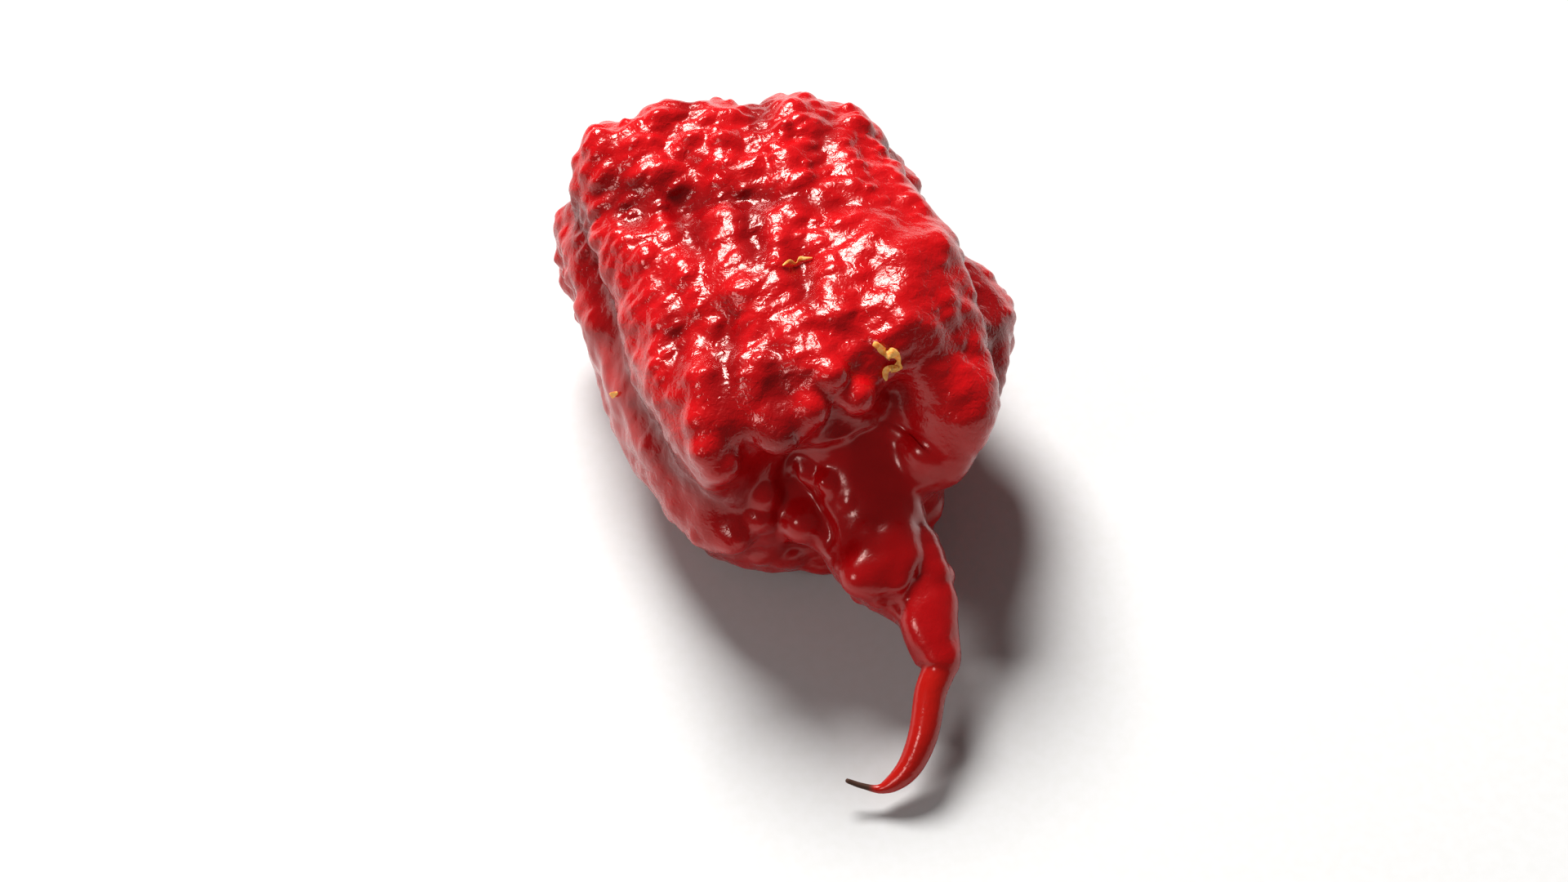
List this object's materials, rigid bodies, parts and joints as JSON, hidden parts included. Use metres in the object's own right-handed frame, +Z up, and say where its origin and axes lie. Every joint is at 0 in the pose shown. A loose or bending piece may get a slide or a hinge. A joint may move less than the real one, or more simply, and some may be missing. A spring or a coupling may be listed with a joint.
{
  "type": "carolina reaper pepper",
  "caption": "Ripe red carolina reaper chilli pepper lying on its side, with a squat lobed, knobbly body and a short curved tail.",
  "frame": {"origin": "middle of the pepper's bounding box, on the floor that it rests on", "axes": "+Z up, +Y from the tail towards the stem end along the pepper's length, +X to the right when looking from the tail towards the stem end"},
  "size_m": [0.0369, 0.0597, 0.0302],
  "materials": {
    "skin": "waxy, glossy ripe skin, deep red, a little more orange along the tail"
  },
  "bodies": {
    "root": {"pepper": "skin"}
  },
  "joints": []
}
